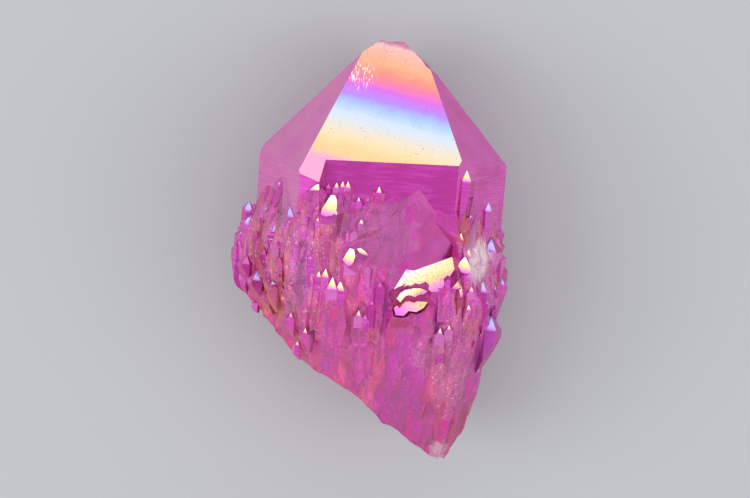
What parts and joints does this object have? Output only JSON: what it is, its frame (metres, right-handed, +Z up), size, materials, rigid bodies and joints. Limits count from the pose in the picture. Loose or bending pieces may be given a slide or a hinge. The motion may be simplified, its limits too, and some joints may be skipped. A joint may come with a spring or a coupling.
{
  "type": "aura quartz specimen",
  "caption": "Coated quartz point with a faceted tip, a bulging body crusted with small parallel crystals and a slanting broken foot, lying on its flat back.",
  "frame": {"origin": "middle of the bounding box, at the surface that the crystal lies on", "axes": "+Y along the crystal towards its tip, +Z up out of the side with the large bright tip face, +X to the right of somebody who looks down on that side with the tip pointing away"},
  "size_m": [0.0534, 0.08, 0.0364],
  "materials": {
    "coated_quartz": "magenta quartz under a thin metal film that shows gold, blue and violet where it catches the light; glossy growth faces, rough broken foot"
  },
  "bodies": {
    "root": {"quartz_crystal": "coated_quartz"}
  },
  "joints": []
}
